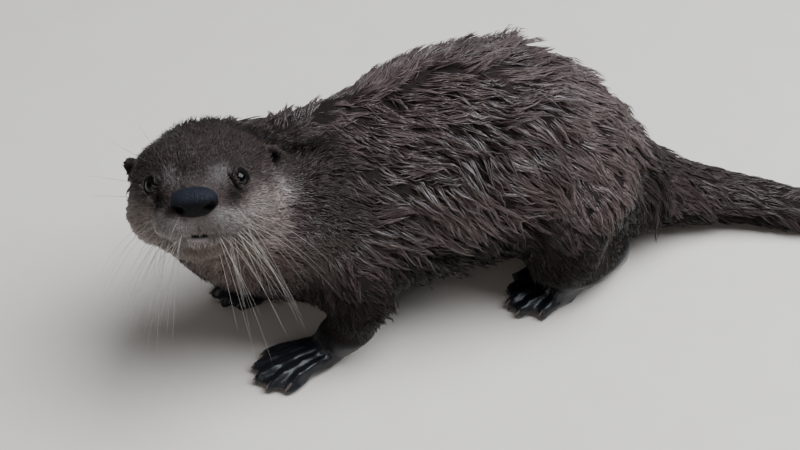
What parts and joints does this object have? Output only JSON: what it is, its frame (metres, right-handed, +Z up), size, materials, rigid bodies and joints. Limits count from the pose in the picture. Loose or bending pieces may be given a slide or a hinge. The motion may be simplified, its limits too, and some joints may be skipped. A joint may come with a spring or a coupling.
{
  "type": "young north american river otter",
  "caption": "Life-size still model of a young river otter standing low with an arched back, head raised and turned to its left, tail laid on the floor.",
  "frame": {"origin": "on the floor under the middle of the bounding box", "axes": "+X to the animal's left, +Y towards its tail, +Z up; it stands facing -Y with its head turned towards +X"},
  "size_m": [0.1668, 0.5432, 0.1594],
  "materials": {
    "coat": "dark brown wet fur, paler on the cheeks and muzzle",
    "bare_skin": "black wet skin of the feet",
    "nose_leather": "dark blue-grey satin nose pad",
    "eye": "black and very glossy",
    "claw_horn": "pale horn"
  },
  "bodies": {
    "root": {"chest": "coat", "claw_forefoot_left_1": "claw_horn", "claw_forefoot_left_2": "claw_horn", "claw_forefoot_left_3": "claw_horn", "claw_forefoot_left_4": "claw_horn", "claw_forefoot_left_5": "claw_horn", "claw_forefoot_right_1": "claw_horn", "claw_forefoot_right_2": "claw_horn", "claw_forefoot_right_3": "claw_horn", "claw_forefoot_right_4": "claw_horn", "claw_forefoot_right_5": "claw_horn", "claw_hindfoot_left_1": "claw_horn", "claw_hindfoot_left_2": "claw_horn", "claw_hindfoot_left_3": "claw_horn", "claw_hindfoot_left_4": "claw_horn", "claw_hindfoot_left_5": "claw_horn", "claw_hindfoot_right_1": "claw_horn", "claw_hindfoot_right_2": "claw_horn", "claw_hindfoot_right_3": "claw_horn", "claw_hindfoot_right_4": "claw_horn", "claw_hindfoot_right_5": "claw_horn", "ear_left": "coat", "ear_right": "coat", "eye_left": "eye", "eye_right": "eye", "forefoot_left": "bare_skin", "forefoot_right": "bare_skin", "head": "coat", "hindfoot_left": "bare_skin", "hindfoot_right": "bare_skin", "loin": "coat", "lower_foreleg_left": "coat", "lower_foreleg_right": "coat", "lower_hindleg_left": "coat", "lower_hindleg_right": "coat", "neck": "coat", "nose": "nose_leather", "rump": "coat", "tail_end": "coat", "tail_middle": "coat", "tail_root": "coat", "upper_foreleg_left": "coat", "upper_foreleg_right": "coat", "upper_hindleg_left": "coat", "upper_hindleg_right": "coat"}
  },
  "joints": []
}
